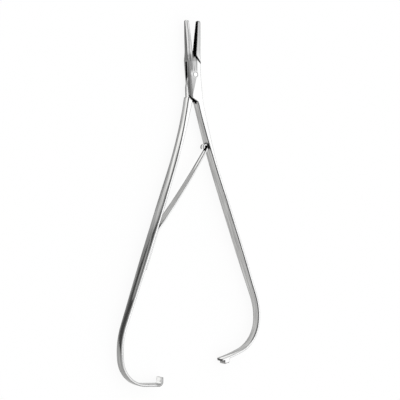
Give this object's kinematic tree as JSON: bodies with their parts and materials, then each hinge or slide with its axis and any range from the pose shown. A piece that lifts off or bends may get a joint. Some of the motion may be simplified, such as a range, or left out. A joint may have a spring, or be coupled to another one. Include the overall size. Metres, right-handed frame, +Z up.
{
  "type": "surgical needle holder",
  "caption": "Palm-grip surgical needle holder with box lock, cross-toothed jaws, bowed sprung handles and a ratchet catch at their curled ends",
  "frame": {"origin": "Bottom centre of the bounding box: the instrument lies flat on a surface at z = 0", "axes": "+Y along the instrument from the curled handle ends to the jaw tips, +X from the left handle to the right one, +Z up from the surface it lies on"},
  "size_m": [0.0914, 0.196, 0.007],
  "materials": {
    "satin_steel": "satin ground stainless steel",
    "spring_steel": "polished stainless spring strip",
    "pin_steel": "bright stainless steel"
  },
  "bodies": {
    "box_half": {"box_arm": "satin_steel", "pivot_pin": "pin_steel"},
    "tongue_half": {"tongue_arm": "satin_steel", "leaf_spring": "spring_steel", "spring_screw": "pin_steel"}
  },
  "joints": [
    {"name": "box_lock", "type": "hinge", "parent": "box_half", "child": "tongue_half", "pos_m": [0.00209, 0.06838, 0], "axis": [0, 0, 1], "range_deg": [0, 11.2], "stiffness_Nm_per_rad": 1.5, "springref_deg": -6.88, "deforming": ["leaf_spring"]}
  ]
}
